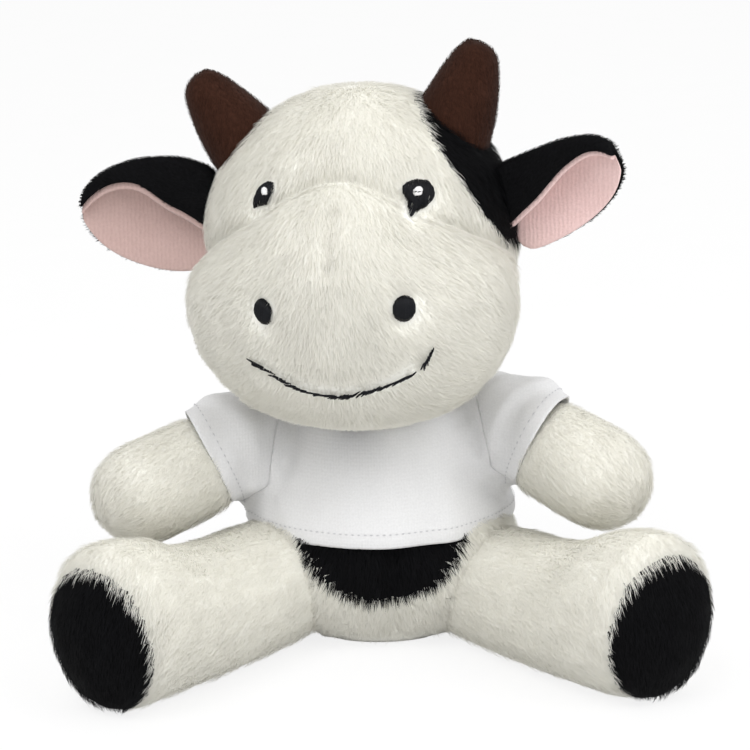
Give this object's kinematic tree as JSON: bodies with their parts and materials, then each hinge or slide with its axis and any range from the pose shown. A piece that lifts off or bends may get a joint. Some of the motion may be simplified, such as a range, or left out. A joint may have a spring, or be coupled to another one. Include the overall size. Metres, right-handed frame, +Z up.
{
  "type": "plush cow",
  "caption": "Sitting stuffed cow with long-pile fur, horns, lined ears, splayed legs and a plain T-shirt, as a soft toy",
  "frame": {"origin": "on the floor under the middle of the body, on its flat seat", "axes": "+Z up, -Y the way the cow faces, +X towards its own left side"},
  "size_m": [0.207, 0.1954, 0.195],
  "materials": {
    "white_fur": "long pile plush, off-white",
    "black_fur": "long pile plush, black",
    "brown_pile": "short pile plush, dark brown",
    "pink_pile": "short ribbed pile, dusty pink",
    "jersey": "thin knitted jersey, plain white-grey",
    "black_thread": "satin-stitched thread, black",
    "white_thread": "satin-stitched thread, white",
    "fibre": "loose polyester fibre",
    "pellet_cloth": "woven cotton"
  },
  "bodies": {
    "torso": {"torso_cover": "white_fur", "belly_patch": "black_fur", "torso_filling": "fibre", "pellet_bag": "pellet_cloth", "shirt_front": "jersey", "shirt_back": "jersey", "shirt_collar": "jersey"},
    "neck": {"neck_filling": "fibre"},
    "head": {"head_cover": "white_fur", "head_patch": "black_fur", "muzzle_panel": "white_fur", "head_filling": "fibre", "horn_left": "brown_pile", "horn_right": "brown_pile", "eye_left": "black_thread", "eye_right": "black_thread", "eye_glint_left": "white_thread", "eye_glint_right": "white_thread", "nostril_left": "black_thread", "nostril_right": "black_thread", "mouth_stitch": "black_thread"},
    "ear_left": {"ear_left_back": "black_fur", "ear_left_lining": "pink_pile"},
    "ear_right": {"ear_right_back": "black_fur", "ear_right_lining": "pink_pile"},
    "arm_left": {"arm_left_cover": "white_fur", "arm_left_filling": "fibre", "sleeve_left": "jersey"},
    "arm_right": {"arm_right_cover": "white_fur", "arm_right_filling": "fibre", "sleeve_right": "jersey"},
    "leg_left": {"leg_left_cover": "white_fur", "leg_left_filling": "fibre", "foot_pad_left": "black_fur"},
    "leg_right": {"leg_right_cover": "white_fur", "leg_right_filling": "fibre", "foot_pad_right": "black_fur"},
    "tail": {"tail_cord": "white_fur", "tail_tuft": "black_fur"}
  },
  "joints": [
    {"name": "neck_turn", "type": "hinge", "parent": "torso", "child": "neck", "pos_m": [-0.001, 0, 0.072], "axis": [0, 0, 1], "range_deg": [-20, 20]},
    {"name": "head_nod", "type": "hinge", "parent": "neck", "child": "head", "pos_m": [-0.001, 0, 0.072], "axis": [0.9828, -0.1768, 0.0523], "range_deg": [-6, 5]},
    {"name": "ear_left_flap", "type": "hinge", "parent": "head", "child": "ear_left", "pos_m": [0.04444, -0.01631, 0.14364], "axis": [-0.3204, 0.0577, 0.9455], "range_deg": [-18, 18], "stiffness_Nm_per_rad": 0.003},
    {"name": "ear_right_flap", "type": "hinge", "parent": "head", "child": "ear_right", "pos_m": [-0.05216, 0.00108, 0.1385], "axis": [0.0858, -0.0154, 0.9962], "range_deg": [-18, 18], "stiffness_Nm_per_rad": 0.003},
    {"name": "arm_left_swing", "type": "hinge", "parent": "torso", "child": "arm_left", "pos_m": [0.03881, -0.001, 0.068], "axis": [-0.5, 0, -0.866], "range_deg": [-10, 18]},
    {"name": "arm_right_swing", "type": "hinge", "parent": "torso", "child": "arm_right", "pos_m": [-0.03909, -0.001, 0.064], "axis": [-0.5, 0, 0.866], "range_deg": [-10, 18]},
    {"name": "leg_left_swing", "type": "hinge", "parent": "torso", "child": "leg_left", "pos_m": [0.028, -0.012, 0.019], "axis": [0.7934, 0.6088, 0], "range_deg": [0, 30]},
    {"name": "leg_right_swing", "type": "hinge", "parent": "torso", "child": "leg_right", "pos_m": [-0.028, -0.012, 0.019], "axis": [0.7716, -0.6361, 0], "range_deg": [0, 30]},
    {"name": "tail_swing", "type": "hinge", "parent": "torso", "child": "tail", "pos_m": [0, 0.0419, 0.019], "axis": [0, 0.2079, 0.9781], "range_deg": [-25, 25], "stiffness_Nm_per_rad": 0.003}
  ]
}
